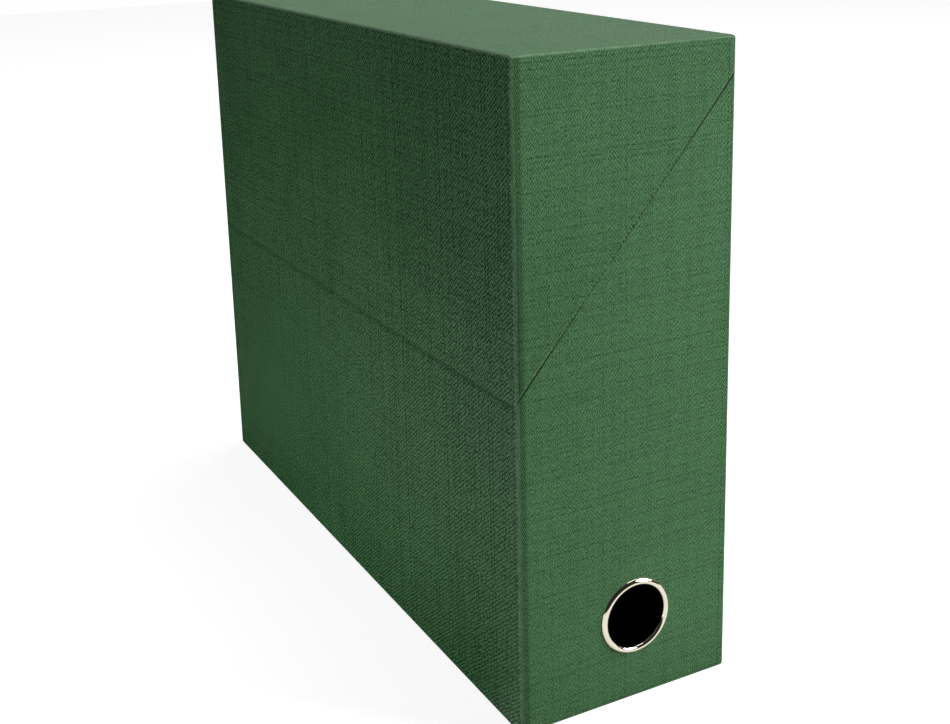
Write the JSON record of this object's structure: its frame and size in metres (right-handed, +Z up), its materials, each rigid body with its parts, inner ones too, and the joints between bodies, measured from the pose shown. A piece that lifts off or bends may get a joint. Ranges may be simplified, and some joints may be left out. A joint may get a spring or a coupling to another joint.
{
  "type": "hinged archive box",
  "caption": "Tall linen-covered board box for A4 papers with a deep hinged lid cut on a diagonal, an inner collar and a metal finger ring low on the spine.",
  "frame": {"origin": "centre of the bounding box at the base, so that the box stands on z = 0", "axes": "+Z up; +Y along the length from the spine with the finger ring to the tail; +X across the width from the front with the level seam to the hinge"},
  "size_m": [0.095, 0.32, 0.255],
  "materials": {
    "greyboard": "matt",
    "cover_paper": "linen-embossed, satin",
    "lining_paper": "matt",
    "hinge_cloth": "matt",
    "ring_chrome": "polished",
    "washer_steel": "plain"
  },
  "bodies": {
    "case": {"base_board": "greyboard", "case_front_board": "greyboard", "case_back_board": "greyboard", "case_spine_board": "greyboard", "case_tail_board": "greyboard", "case_cover": "cover_paper", "case_spine_cover": "cover_paper", "case_tail_cover": "cover_paper", "collar_front": "lining_paper", "collar_spine": "lining_paper", "collar_tail": "lining_paper", "base_lining": "lining_paper", "back_lining": "lining_paper", "finger_ring": "ring_chrome", "ring_washer": "washer_steel", "hinge_cloth_case_leaf": "hinge_cloth", "hinge_cloth_fold": "hinge_cloth", "inner_hinge_case_leaf": "hinge_cloth"},
    "lid": {"lid_top_board": "greyboard", "lid_front_board": "greyboard", "lid_back_board": "greyboard", "lid_spine_board": "greyboard", "lid_tail_board": "greyboard", "lid_cover": "cover_paper", "lid_spine_cover": "cover_paper", "lid_tail_cover": "cover_paper", "lid_top_lining": "lining_paper", "lid_front_lining": "lining_paper", "lid_spine_lining": "lining_paper", "lid_tail_lining": "lining_paper", "hinge_cloth_lid_leaf": "hinge_cloth", "inner_hinge_lid_leaf": "hinge_cloth"}
  },
  "joints": [
    {"name": "lid_hinge", "type": "hinge", "parent": "case", "child": "lid", "pos_m": [0.04715, 0, 0.2424], "axis": [0, 1, 0], "range_deg": [0, 175]}
  ]
}
